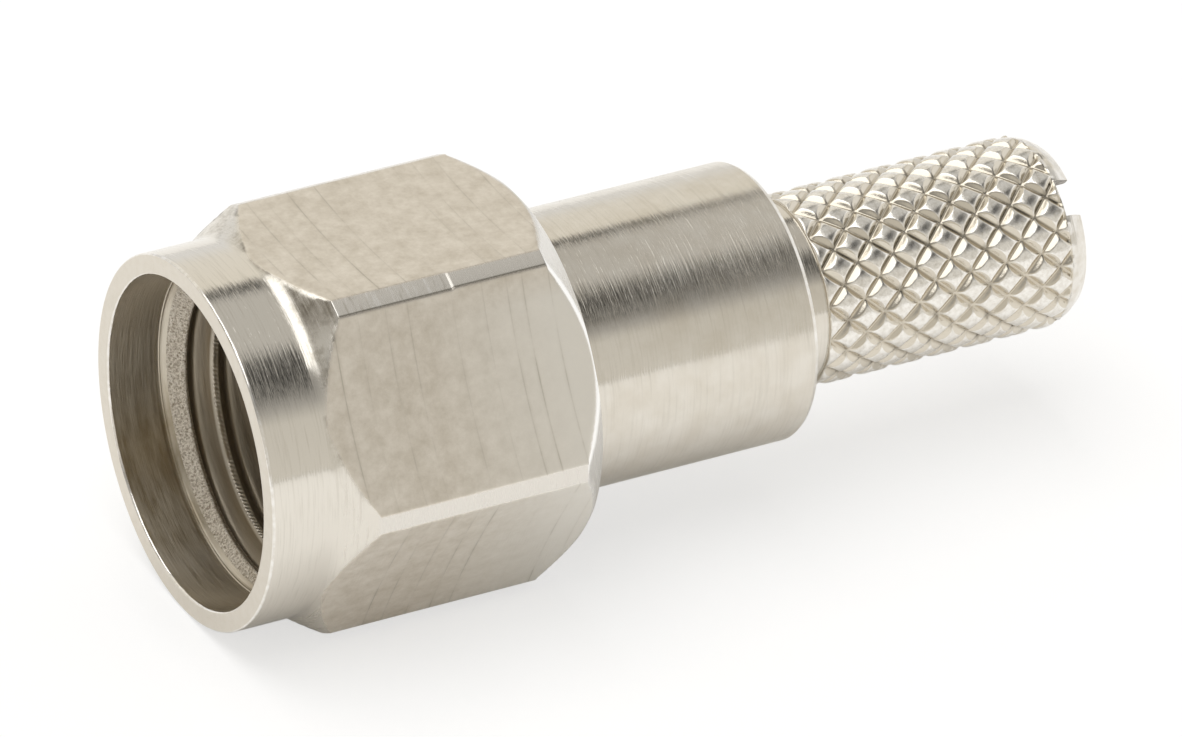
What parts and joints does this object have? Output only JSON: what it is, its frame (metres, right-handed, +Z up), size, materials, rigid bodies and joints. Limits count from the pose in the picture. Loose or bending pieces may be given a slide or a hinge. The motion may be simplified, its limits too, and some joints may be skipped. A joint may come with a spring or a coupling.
{
  "type": "mini-uhf connector",
  "caption": "Coaxial cable plug: a hexagonal coupling nut spins on a round barrel, with a center pin inside its mouth and a diamond-knurled crimp stem for the cable behind.",
  "frame": {"origin": "centre of the coupling nut's mouth, on the plug's axis, in the plane of the nut's front face", "axes": "+X along the plug's axis from the nut's mouth to the cable end; +Z up, away from the nut flat that the plug lies on; +Y completes a right-handed frame"},
  "size_m": [0.028, 0.0124, 0.0112],
  "materials": {
    "nickel_nut": "nickel plate over milled and turned brass",
    "nickel_body": "nickel plate over turned and knurled brass",
    "spring_bronze": "plated spring bronze",
    "white_insulator": "turned white fluoropolymer",
    "gold_contact": "gold plate over turned brass"
  },
  "bodies": {
    "plug_body": {"connector_body": "nickel_body", "retaining_ring": "spring_bronze", "insulator": "white_insulator", "center_contact": "gold_contact"},
    "nut": {"coupling_nut": "nickel_nut"}
  },
  "joints": [
    {"name": "nut_spin", "type": "hinge", "parent": "plug_body", "child": "nut", "pos_m": [0.0095, 0, 0], "axis": [1, 0, 0], "continuous": true}
  ]
}
